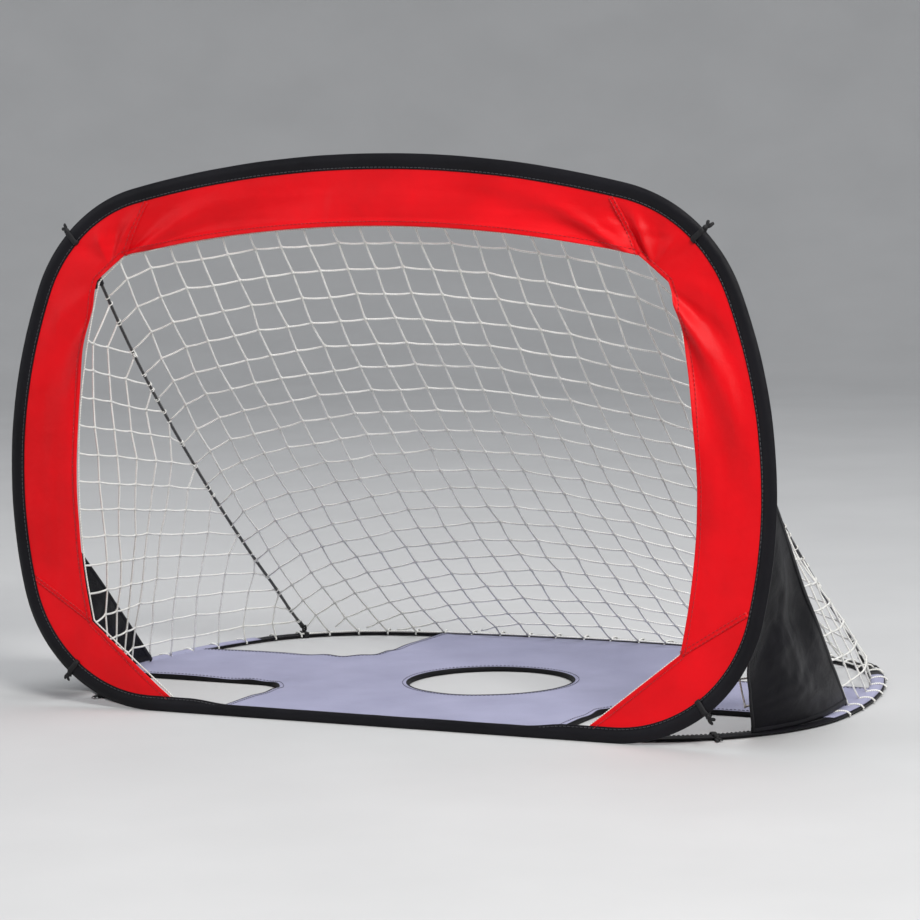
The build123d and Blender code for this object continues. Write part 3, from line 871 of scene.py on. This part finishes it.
def make_lip(name, points, node, closed=False):
    """Black binding round an opening, and a black wall from the floor up to the sheet that is painted
    shade under the sheet.
    """
    rows = []
    centre = np.mean(points, axis=0)
    foot = LIP_FOOT
    for x, y in lip_path(points):
        away = Vector((x - centre[0], y - centre[1], 0)).normalized()
        top = sheet_height(x, y) + 0.0006
        wave = 0.0006 * rough(x * 30, y * 30, 0, 51)
        # the black face from the floor up to the sheet is painted shade under the sheet; only the wrap
        # over the sheet's edge is binding
        section = (
            (-0.0004, foot), (-0.0012, (top + foot) / 2), (-0.0006, top - 0.0004),
            (0.0004, top + 0.0003), (0.0030, top + 0.0001), (0.0032, top - 0.0007),
            (0.0012, top - 0.0012), (0.0008, foot),
        )
        rows.append([
            on_ground(x + away.x * (a + wave), y + away.y * (a + wave), z) for a, z in section
        ])
    lip = Mesh()
    if closed:
        rows = rows[:-1]
    base = lip.grid(rows, wrap_rows=closed, wrap_columns=True)
    if not closed:
        wide = len(rows[0])
        end = base + len(rows) * wide
        lip.faces.append(tuple(range(base, base + wide)))
        lip.faces.append(tuple(reversed(range(end - wide, end))))
    piece = lip.made(name, LIP_BINDING_AND_SHADE, "ground", "sheet_binding")
    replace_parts(piece, node)


whole_turn = np.linspace(0, 2 * math.pi, 160)
make_lip("target_lip", ring(TARGET_RADIUS, whole_turn), "target_binding", closed=True)
sheet_threads = Mesh()
STITCH_IN = 0.0085


def sheet_stitches(points):
    add_stitches(
        sheet_threads,
        [on_ground(x, y, sheet_height(x, y) + 0.0006) for x, y in lip_path(points, 0.004)],
        Vector((0, 0, 1)),
        radius=0.0006,
    )


sheet_stitches(ring(TARGET_RADIUS + STITCH_IN, whole_turn))
for row in ("front", "rear"):
    edge = cutout_edge(row)
    turned = 1 if row == "front" else -1
    for side, sign in SIDES:
        make_lip(f"cutout_lip_{row}_{side}", mirrored(edge, sign), f"binding_{row}_{side}")
        sheet_stitches(mirrored(inset(resampled(edge, 200), turned * STITCH_IN), sign))
sheet_threads.made("sheet_stitching", DARK_THREAD, "ground", "sheet_binding")


# ---- side webs: loose black panels between the two hoops ----
def side_rows(run, arcs, _):
    """The lower part of a hoop's right side: points and outward normals, by their v."""
    rows = np.array([r for r in right_half(run, arcs, 0.004) if r[0] > 0.45 and r[1] < 0.5])
    return rows[np.argsort(rows[:, 1])]


def row_at(rows, v):
    return [float(np.interp(v, rows[:, 1], rows[:, k])) for k in range(4)]


goal_rows, ground_rows = (side_rows(*hoop) for hoop in HOOPS.values())


def web_point(s, t, sign):
    """s from the goal hoop down to the ground hoop, t from the inner edge to the outer."""
    low_goal, high_goal = WEB_GOAL_HEIGHTS
    x, v = row_at(goal_rows, low_goal + (high_goal - low_goal) * t)[:2]
    start = on_goal(x, v, -0.0012)
    near, rear = WEB_GROUND_SPAN
    shift = WEB_GROUND_SHIFT[0] * (1 - t) + WEB_GROUND_SHIFT[1] * t
    x, y, nx, ny = row_at(ground_rows, near + (rear - near) * t)
    end = on_ground(x + nx * shift, y + ny * shift, 0.0092)
    p = start.lerp(end, s)
    loose = math.sin(math.pi * min(1, max(0, s)))
    free = loose * (0.12 + 0.88 * math.sin(math.pi * t))
    deep = 0.015 * rough(t * 2.0, s * 1.8, sign, 61) + 0.011 * rough(t * 3.6, s * 4.4, sign, 62)
    deep += 0.0035 * math.sin(9 * t + 5 * s + sign)
    deep += 0.0085 * rough(t * 3, s * 11, sign, 63) * smooth((s - 0.55) / 0.3)
    deep += 0.0022 * rough(t * 16, s * 12, sign, 64)
    p.x += (deep - 0.010) * free
    return Vector((sign * p.x, p.y, p.z))


def make_web(side, sign):
    """A side's web between the two hoops, and its hems."""
    cloth = Mesh()
    hem = (0.0, 0.02, 0.028)
    across = [*hem, *np.linspace(0.05, 0.95, 30), *(1 - h for h in reversed(hem))]
    cloth.grid([[web_point(s, t, sign) for t in across] for s in np.linspace(0, 1, 70)])
    piece = cloth.made(f"web_{side}_cloth", WEB_CLOTH, None, "black_web", thick=0.0009)
    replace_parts(piece, f"side_web_{side}")
    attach(piece, "ground")
    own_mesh(piece)
    hems = Mesh()
    for t in (0.012, 0.988):
        path = [web_point(s, t, sign) for s in np.linspace(0.0, 1.0, 60)]
        hems.tube(path, 0.0042, sides=10, flat=0.38, up=(1, 0, 0))
    for s in (0.012, 0.985):
        path = [web_point(s, t, sign) for t in np.linspace(0.0, 1.0, 40)]
        hems.tube(path, 0.0050, sides=10, flat=0.35, up=(1, 0, 0))
    hem_piece = hems.made(f"web_{side}_hems", BLACK, "ground", "black_web")
    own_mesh(hem_piece)


for side, sign in SIDES:
    make_web(side, sign)


# ---- elastic cords ----
CORD_ROUTE = [
    (0.4480, 0.0289, 0.6173), (0.4497, 0.057, 0.583), (0.4523, 0.101, 0.530),
    (0.4553, 0.150, 0.476), (0.4584, 0.201, 0.424), (0.4615, 0.253, 0.373),
    (0.4647, 0.306, 0.323), (0.4679, 0.360, 0.274), (0.4712, 0.414, 0.227),
    (0.4745, 0.468, 0.182), (0.4776, 0.519, 0.141), (0.4804, 0.566, 0.105),
    (0.4832, 0.603, 0.075), (0.485116, 0.634975, 0.047976), (0.485116, 0.660192, 0.028275),
]


def spline_points(route):
    """Points along the NURBS spline whose control points are the route's."""
    curve = bpy.data.curves.new("route", "CURVE")
    curve.dimensions = "3D"
    spline = curve.splines.new("NURBS")
    spline.points.add(len(route) - 1)
    for point, place in zip(spline.points, route):
        point.co = (*place, 1)
    spline.order_u = 3
    spline.use_endpoint_u = True
    spline.resolution_u = 12
    holder = bpy.data.objects.new("route", curve)
    read = bpy.data.meshes.new_from_object(holder)
    points = [v.co.copy() for v in read.vertices]
    bpy.data.objects.remove(holder)
    bpy.data.curves.remove(curve)
    bpy.data.meshes.remove(read)
    return points


cord_points = {}


def make_cord(side, sign):
    path = spline_points([on_ground(sign * x, y, z) for x, y, z in CORD_ROUTE])
    cord_points[side] = path
    tube = Mesh()
    radii = [CORD_DIA / 2 * (1 + 0.02 * rough(i * 0.6, 0, 0, 71)) for i in range(300)]
    tube.tube(resampled(path, len(radii)), radii, sides=12)
    piece = tube.made(f"cord_{side}_line", CORD, None, "elastic_cord")
    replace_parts(piece, f"cord_{side}")
    return piece


# the back net and the cords fold in two between the hoops
for side, sign in SIDES:
    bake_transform(make_cord(side, sign))


# ---- net ----
TWINE_RADIUS = 0.0015
KNOT_RADIUS = 0.0027
WRAP_RADIUS = 0.0009        # twine round a cord is drawn tight
COLUMNS = 21
BACK_ROW = 0.0470
FIRST_ROW = 0.6             # of a row, from the mouth's edge to the first knots
BACK_SAG = 0.050            # how far the back net hangs below a straight line, in its middle
CORD_SAG = 0.024            # and at the cords
ROW_SPREAD = 0.14           # rows lie this much further apart at the cords
RIM_SHARE = 0.6             # of the way to the next tie, where a row that runs out reaches the rim
top_edge = [*mirrored([MOUTH_CORNER], -1), *mouth_top, MOUTH_CORNER]
RIM_IN = -HALF_SLEEVE + 0.001
rear_half = [p for p in moved_out(ground_half, RIM_IN) if p[1] > 0.62 and p[0] < 0.487]
rear_edge = [*mirrored(rear_half, -1), *reversed(rear_half)]


def strand(mesh, knots, seed, sag=0.0011):
    """Twine through a row of knots, each span a little slack."""
    path = []
    for i, (a, b) in enumerate(zip(knots, knots[1:])):
        for k in range(4):
            t = k / 4
            p = a.lerp(b, t)
            p.z -= sag * math.sin(math.pi * t) * (1 + 0.6 * rough(i, seed, 0, 81))
            path.append(p)
    path.append(knots[-1].copy())
    if lengths_along(path)[-1] > 0.004:
        mesh.tube(path, TWINE_RADIUS, sides=6)


def rim_loop(mesh, x, y, nx, ny, seed):
    """Lashing over the ground hoop's sleeve, from its inner side to its outer one."""
    path = []
    lean = 0.004 * rough(seed * 3.3, 0, 0, 82)
    for a, z in (
        (-0.0118, 0.0022), (-0.0122, 0.0050), (-0.0085, 0.0080), (-0.003, 0.0092),
        (0.003, 0.0094), (0.0085, 0.0082), (0.0122, 0.0052), (0.0118, 0.0022),
    ):
        out, aside = a + HALF_SLEEVE, lean * a / 0.0122
        path.append(on_ground(x + nx * out - ny * aside, y + ny * out + nx * aside, z))
    mesh.tube(path, TWINE_RADIUS, sides=6)


def cord_wrap(mesh, at, ahead, seed, turns=1.2):
    """A few turns of twine round a cord."""
    ahead = Vector(ahead).normalized()
    side = ahead.orthogonal().normalized()
    other = ahead.cross(side)
    steps = round(14 * turns)
    reach = CORD_DIA / 2 + WRAP_RADIUS * 0.8
    path = []
    for k in range(steps + 1):
        a = 2 * math.pi * turns * k / steps + seed
        along = (k / steps - 0.5) * 0.0034 * turns
        path.append(Vector(at) + ahead * along + (side * math.cos(a) + other * math.sin(a)) * reach)
    mesh.tube(path, WRAP_RADIUS, sides=6)


def at_share(points, share):
    """The place a share of the way along a flat polyline."""
    along = lengths_along(points)
    points = np.array(points, float)
    return tuple(np.interp(share * along[-1], along, points[:, k]) for k in range(2))


def cord_place(p):
    """The point of the nearer cord that is closest to p, and the cord's bearing there."""
    path = cord_points["left" if p.x < 0 else "right"]
    i = min(range(1, len(path) - 1), key=lambda j: (path[j] - p).length)
    return path[i], path[i + 1] - path[i - 1]


def back_column(i):
    """Knots of a column of the back net, from the mouth's top edge down to the rim."""
    u = -1 + 2 * i / COLUMNS
    x, v = at_share(top_edge, (u + 1) / 2)
    rear_x, rear_y = at_share(rear_edge, (u + 1) / 2)
    top, bottom = on_goal(x, v, -0.0028), on_ground(rear_x, rear_y, 0.0078)
    length = (bottom - top).length
    spacing = BACK_ROW * (1 + ROW_SPREAD * u * u)
    hang = BACK_SAG + (CORD_SAG - BACK_SAG) * abs(u) ** 5
    down = (bottom - top) / length
    normal = down.cross(Vector((1, 0, 0))).normalized()
    if normal.z < 0:
        normal = -normal
    knots, d = [top], spacing * FIRST_ROW
    while d < length - 0.012:
        share = d / length
        p = top + down * d - normal * (4 * share * (1 - share) * hang)
        if 0 < i < COLUMNS:
            k = len(knots)
            p += 0.0042 * Vector((
                rough(i * 3.1, k * 2.7, 0, 91), rough(i * 2.3, k * 3.9, 5, 91), rough(i, k, 9, 91),
            ))
        knots.append(p)
        d += spacing
    return [*knots, bottom]


def back_net():
    """Columns and rows of twine; rows that run out of columns end on the rim."""
    net = Mesh()
    columns = [back_column(i) for i in range(COLUMNS + 1)]
    for i, knots in enumerate(columns[1:-1], 1):
        strand(net, knots, i)
        for p in knots[:-1]:
            net.knot(p, KNOT_RADIUS, (1.1, 0.8, 1.1), seed=p.x * 90 + p.z * 70)
    rows = range(1, max(len(knots) for knots in columns) - 1)
    for k in rows:
        run = []
        for i, knots in enumerate(columns):
            if k < len(knots) - 1:
                run.append(cord_place(knots[k])[0] if i in (0, COLUMNS) else knots[k])
                continue
            if run:
                last = run[-1].lerp(knots[-1], RIM_SHARE)
                strand(net, [*run, last] if (last - run[-1]).length > 0.02 else run, k)
            follows = columns[i + 1] if i < COLUMNS else []
            run = [follows[k].lerp(knots[-1], RIM_SHARE)] if k < len(follows) - 1 else []
        if len(run) > 1:
            strand(net, run, k)
    for k in rows:
        for knots in (columns[0], columns[-1]):
            if k < len(knots) - 1:
                cord_wrap(net, *cord_place(knots[k]), k)
    strand(net, [knots[-1] for knots in columns], 3, sag=0.0)
    return net


def rim_lashing(points, seed):
    lashing = Mesh()
    for i, (x, y) in enumerate(points):
        nx, ny = rim_near(x, y)[2:]
        rim_loop(lashing, x, y, nx if x >= 0 else -nx, ny, seed + i)
    return lashing


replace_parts(back_net().made("net_back_twine", TWINE, None, "white_net"), "net_back")
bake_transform(bpy.data.objects["net_back_twine"])
rear_spots = [at_share(rear_edge, i / COLUMNS) for i in range(COLUMNS + 1)]
rim_lashing(rear_spots, 5).made("net_back_lashing", TWINE, "ground", "white_net")

# side nets: columns lean forward as they rise, rows drop a little as they run back
SIDE_COLUMN_FOOT = (0.060, 0.057)       # first foot and spacing along the ground, back from the fold
SIDE_COLUMN_MIDDLE = (0.020, 0.046)     # the same at the middle height
SIDE_MIDDLE_HEIGHT = 0.330
SIDE_ROW = 0.0415
SIDE_ROW_DROP = 0.42
SIDE_COLUMNS = 12
SIDE_ROWS = 14
ROW_END_LOW = 0.060         # rows above this height are tied to the border's edge
SIDE_EDGE_LOW = 0.200       # below this the border's edge turns inward and the net hangs straight down
SIDE_JOIN = 0.285           # from this far back the net meets the ground rim; before it, it hangs free
ROUTE = np.array(CORD_ROUTE)


def cord_at(y):
    """x and height of the right cord above a place back from the fold."""
    return float(np.interp(y, ROUTE[:, 1], ROUTE[:, 0])), float(np.interp(y, ROUTE[:, 1], ROUTE[:, 2]))


side_rim = [p for p in moved_out(ground_half, RIM_IN) if 0.05 < p[1] < 0.70 and p[0] > 0.45]


def rim_x(y):
    points = np.array(sorted(side_rim, key=lambda p: p[1]))
    return float(np.interp(y, points[:, 1], points[:, 0]))


def side_x(y, z):
    """How far out a side net lies between the ground rim and the cord."""
    cord_x, cord_z = cord_at(max(y, ROUTE[0, 1]))
    foot = rim_x(y)
    share = min(1.0, max(0.0, (z - 0.008) / (cord_z - 0.008)))
    return foot + (cord_x - foot) * share + 0.010 * math.sin(math.pi * share)


def side_place(y, z, sign):
    """The point of a side net at a place back from the fold and a height."""
    if y >= SIDE_JOIN:
        return on_ground(sign * side_x(y, z), y, z)
    edge_x, edge_y = border_edge(max(z, SIDE_EDGE_LOW))
    share = (y - edge_y) / (SIDE_JOIN - edge_y)
    return on_ground(sign * (edge_x + (side_x(SIDE_JOIN, z) - edge_x) * share), y, z)


def column_y(j, z):
    foot = SIDE_COLUMN_FOOT[0] + SIDE_COLUMN_FOOT[1] * j
    middle = SIDE_COLUMN_MIDDLE[0] + SIDE_COLUMN_MIDDLE[1] * j
    return foot + (middle - foot) * z / SIDE_MIDDLE_HEIGHT


def row_z(k, y):
    return SIDE_ROW * k * (1 - SIDE_ROW_DROP * y)


def border_edge(z):
    """x and distance back of the mouth's edge at a height, right side."""
    v = (z - fold.z) / math.cos(LEAN)
    points = np.array([mouth_end, *reversed(mouth_side)])
    points = points[np.argsort(points[:, 1])]
    return float(np.interp(v, points[:, 1], points[:, 0])), v * math.sin(LEAN) + 0.003


def side_net(sign):
    """A side's twine, and the places on the ground rim that its columns are lashed to."""
    net = Mesh()
    knots = {}
    for j in range(1, SIDE_COLUMNS + 1):
        for k in range(1, SIDE_ROWS + 1):
            y = 0.2
            for _ in range(30):
                y = column_y(j, row_z(k, y))
            z = row_z(k, y)
            if border_edge(z)[1] + 0.012 < y < 0.66 and 0.03 < z < cord_at(y)[1] - 0.010:
                knots[j, k] = side_place(y, z, sign) + 0.0036 * Vector((
                    rough(j * 3.3, k * 2.1, sign, 95), rough(j * 1.9, k * 3.7, sign, 96),
                    rough(j, k, sign, 97),
                ))
    for p in knots.values():
        net.knot(p, KNOT_RADIUS, (0.8, 1.1, 1.1), seed=p.y * 90 + p.z * 70)
    feet = []
    for j in range(1, SIDE_COLUMNS + 1):
        here = [knots[j, k] for k in range(1, SIDE_ROWS + 1) if (j, k) in knots]
        foot_y = column_y(j, 0.008)
        if not here or foot_y > 0.668:
            continue
        run = list(here)
        if foot_y >= SIDE_JOIN:
            foot = side_place(foot_y, 0.0078, sign)
            feet.append((foot.x, foot_y))
            run.insert(0, foot)
        head = here[-1]
        top, ahead = cord_place(Vector((head.x, head.y - 0.01, head.z + 0.03)))
        if (top - head).length < 0.09:
            run.append(top)
            cord_wrap(net, top, ahead, j)
        strand(net, run, j)
    for k in range(1, SIDE_ROWS + 1):
        here = [knots[j, k] for j in range(1, SIDE_COLUMNS + 1) if (j, k) in knots]
        if not here:
            continue
        z = row_z(k, 0.02)
        edge_x, edge_y = border_edge(z)
        start = [on_ground(sign * edge_x, edge_y, z)] if z > ROW_END_LOW else []
        last = here[-1]
        far_y = min(0.66, last.y - fold.y + 0.03)
        while cord_at(far_y)[1] > row_z(k, far_y) and far_y < 0.655:
            far_y += 0.004
        spot, ahead = cord_place(on_ground(last.x, far_y, row_z(k, far_y)))
        strand(net, [*start, *here, spot], k)
        cord_wrap(net, spot, ahead, k * 1.3)
    return net, feet


for side, sign in SIDES:
    net, feet = side_net(sign)
    piece = net.made(f"net_{side}_twine", TWINE, "ground", "white_net")
    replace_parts(piece, f"net_{side}")
    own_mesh(piece)
    rim_lashing(feet, 9 + sign).made(f"net_{side}_lashing", TWINE, "ground", "white_net")


# ---- ties: webbing round the sleeve, with a knot and two short tails ----
TIES = {
    "goal_upper": ("goal", 2, 0.42),
    "goal_lower": ("goal", 0, 0.50),
    "ground_front": ("ground", 0, 0.45),
    "ground_rear": ("ground", 2, 0.38),
}
TIE_WIDTH = 0.008
TIE_OUT, TIE_UP, TIE_CORNER = 0.0117, 0.0047, 0.0036    # half sizes and corner of the loop
TIE_ROWS = ((-0.5, -0.0004), (-0.42, 0.0006), (0, 0.0009), (0.42, 0.0006), (0.5, -0.0004))
TIE_TURNS = 28
TAILS = ((0.42, 0.013), (-0.30, 0.010))     # turn and reach


def tie_frame(hoop, index, share, sign):
    """Centre of the sleeve, the way out of the hoop, through it and along it."""
    run, arcs, place = HOOPS[hoop]
    centre, radius, first, sweep = hoop_arcs(run, **arcs)[index]
    a = first + share * sweep
    c, s = math.cos(a), math.sin(a)
    x, v = centre[0] + radius * c, centre[1] + radius * s
    middle = place(sign * x, v, MID_SLEEVE)
    out = place(sign * (x + c), v + s, MID_SLEEVE) - middle
    thick = place(sign * x, v, MID_SLEEVE + 1) - middle
    return middle, out, thick, out.cross(thick)


def rounded(turn, half):
    """A coordinate of the loop's section, which has flat sides and round corners."""
    return (half - TIE_CORNER) * np.sign(turn) * min(1, abs(turn) * 3) + TIE_CORNER * turn


def make_tie(name, side, sign):
    """A loop of webbing, its knot with a band across, and two tails."""
    hoop, index, share = TIES[name]
    middle, out, thick, along = tie_frame(hoop, index, share, sign)

    def spot(a, b, c=0.0):
        p = middle + out * a + thick * b + along * c
        if hoop == "ground":
            p.z = max(p.z, 0.0008)
        return p

    tie = Mesh()
    section = []
    for k in range(TIE_TURNS):
        a = 2 * math.pi * k / TIE_TURNS
        section.append((rounded(math.cos(a), TIE_OUT), rounded(math.sin(a), TIE_UP)))
    tie.grid([
        [
            spot(
                a * (1 + lift / TIE_OUT), b * (1 + lift / TIE_UP),
                w * TIE_WIDTH + 0.0006 * math.sin(a * 300),
            )
            for a, b in section
        ]
        for w, lift in TIE_ROWS
    ], wrap_columns=True)
    tie.knot(spot(TIE_OUT + 0.0022, 0.0005), 0.0042, seed=len(name) + sign, rings=7, sides=10)
    band = ((0.0035, -0.0028, -0.003), (0.0052, 0.0, -0.001), (0.0035, 0.0030, 0.003))
    tie.tube([spot(TIE_OUT + a, b, c) for a, b, c in band], 0.0022, sides=8, flat=0.6)
    for turn, reach in TAILS:
        tail = []
        for k in range(7):
            t = k / 6
            a = TIE_OUT + 0.004 + reach * t * 0.8
            b = 0.001 - 0.003 * t * t - 0.001 * turn
            tail.append(spot(a, b, turn * 0.011 * t + 0.001 * math.sin(5 * t)))
        tie.tube(tail, [0.0026] * 5 + [0.0024, 0.0016], sides=8, flat=0.32, up=thick)
    piece = tie.made(f"tie_{name}_{side}_webbing", WEBBING, hoop, "black_webbing")
    if name != "ground_rear":
        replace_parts(piece, f"tie_{name}_{side}")


for side, sign in SIDES:
    for name in TIES:
        make_tie(name, side, sign)


# ---- CAD pieces that stay ----
CAD_LOOKS = {
    "goal_hoop_rod": SPRING_STEEL, "ground_hoop_rod": SPRING_STEEL,
    "goal_hoop_ferrule": PLATED, "ground_hoop_ferrule": PLATED,
    "cord_hook_left": PLASTIC, "cord_hook_right": PLASTIC,
    "corner_loop_left": WEBBING, "corner_loop_right": WEBBING,
    "tie_ground_rear_left": WEBBING, "tie_ground_rear_right": WEBBING,
}
for node, material in CAD_LOOKS.items():
    shown = frame["nodes"][node]
    shown.data.materials.clear()
    shown.data.materials.append(material)


# ---- floor, light and camera ----
FLOOR_FLAT, FLOOR_BEND, WALL_TOP, FLOOR_TURNS = 5.5, 4.0, 9.0, 96


def make_floor():
    """A pale floor that curves up into a wall all round."""
    shade = Shade("pale floor", roughness=0.75, specular=0.2)
    shade.colours(shade.noise(3, 4), (0.50, 0.505, 0.51), (0.53, 0.535, 0.54))
    profile = [(0.02, 0.0), (2.0, 0.0), (4.0, 0.0)]
    for k in range(13):
        a = math.pi / 2 * k / 12
        profile.append((FLOOR_FLAT + FLOOR_BEND * math.sin(a), FLOOR_BEND * (1 - math.cos(a))))
    profile.append((FLOOR_FLAT + FLOOR_BEND, WALL_TOP))
    turns = [2 * math.pi * j / FLOOR_TURNS for j in range(FLOOR_TURNS)]
    floor = Mesh()
    rows = [[(r * math.cos(a), r * math.sin(a), z) for a in turns] for r, z in profile]
    floor.grid(rows, wrap_columns=True)
    floor.faces.append(tuple(reversed(range(FLOOR_TURNS))))
    data = bpy.data.meshes.new("floor")
    data.from_pydata(floor.points, [], floor.faces)
    data.shade_smooth()
    data.materials.append(shade.material)
    piece = bpy.data.objects.new("floor", data)
    bpy.context.scene.collection.objects.link(piece)


def make_light(name, place, aim, size, power, colour=(1, 1, 1)):
    lamp = bpy.data.lights.new(name, "AREA")
    lamp.shape = "RECTANGLE"
    lamp.size, lamp.size_y = size
    lamp.energy = power
    lamp.color = colour
    holder = bpy.data.objects.new(name, lamp)
    holder.location = place
    holder.rotation_mode = "QUATERNION"
    holder.rotation_quaternion = (Vector(aim) - Vector(place)).to_track_quat("-Z", "Y")
    bpy.context.scene.collection.objects.link(holder)


make_floor()
make_light("key", (3.2, -3.4, 3.6), (0, 0, 0.3), (1.6, 1.2), 250, (1.0, 0.98, 0.95))
make_light("fill", (-4.5, -3.5, 2.4), (0, 0, 0.3), (3.0, 2.4), 55, (0.94, 0.97, 1.0))
make_light("top", (0.3, 0.8, 4.5), (0, 0.1, 0), (4.0, 3.0), 80)
make_light("room", (0, 0, 8.5), (0, 0, 0), (9.0, 9.0), 250)
world = bpy.data.worlds.new("studio")
world.use_nodes = True
background = world.node_tree.nodes["Background"].inputs
background["Color"].default_value = (0.9, 0.93, 1.0, 1)
background["Strength"].default_value = 0.33
bpy.context.scene.world = world
bpy.context.scene.view_settings.view_transform = "Standard"

CAMERA_PLACE = Vector((2.0687, fold.y - 3.9191, 0.8146))
CAMERA_YAW = 0.457084
CAMERA_PITCH = -0.0994852
CAMERA_ROLL = -0.0192694
FOCAL_SHARE = 3200 / 920    # focal length over the width of the picture


def make_camera():
    data = bpy.data.cameras.new("camera")
    data.sensor_width = 36.0
    data.lens = 36.0 * FOCAL_SHARE
    data.clip_start, data.clip_end = 0.1, 60.0
    camera = bpy.data.objects.new("camera", data)
    ahead = Vector((
        -math.sin(CAMERA_YAW) * math.cos(CAMERA_PITCH),
        math.cos(CAMERA_YAW) * math.cos(CAMERA_PITCH),
        math.sin(CAMERA_PITCH),
    ))
    level = Vector((math.cos(CAMERA_YAW), math.sin(CAMERA_YAW), 0.0))
    above = level.cross(ahead)
    c, s = math.cos(CAMERA_ROLL), math.sin(CAMERA_ROLL)
    right, up = level * c + above * s, above * c - level * s
    turn = Matrix((right, up, -ahead)).transposed()
    camera.matrix_world = Matrix.Translation(CAMERA_PLACE) @ turn.to_4x4()
    bpy.context.scene.collection.objects.link(camera)
    bpy.context.scene.camera = camera


make_camera()
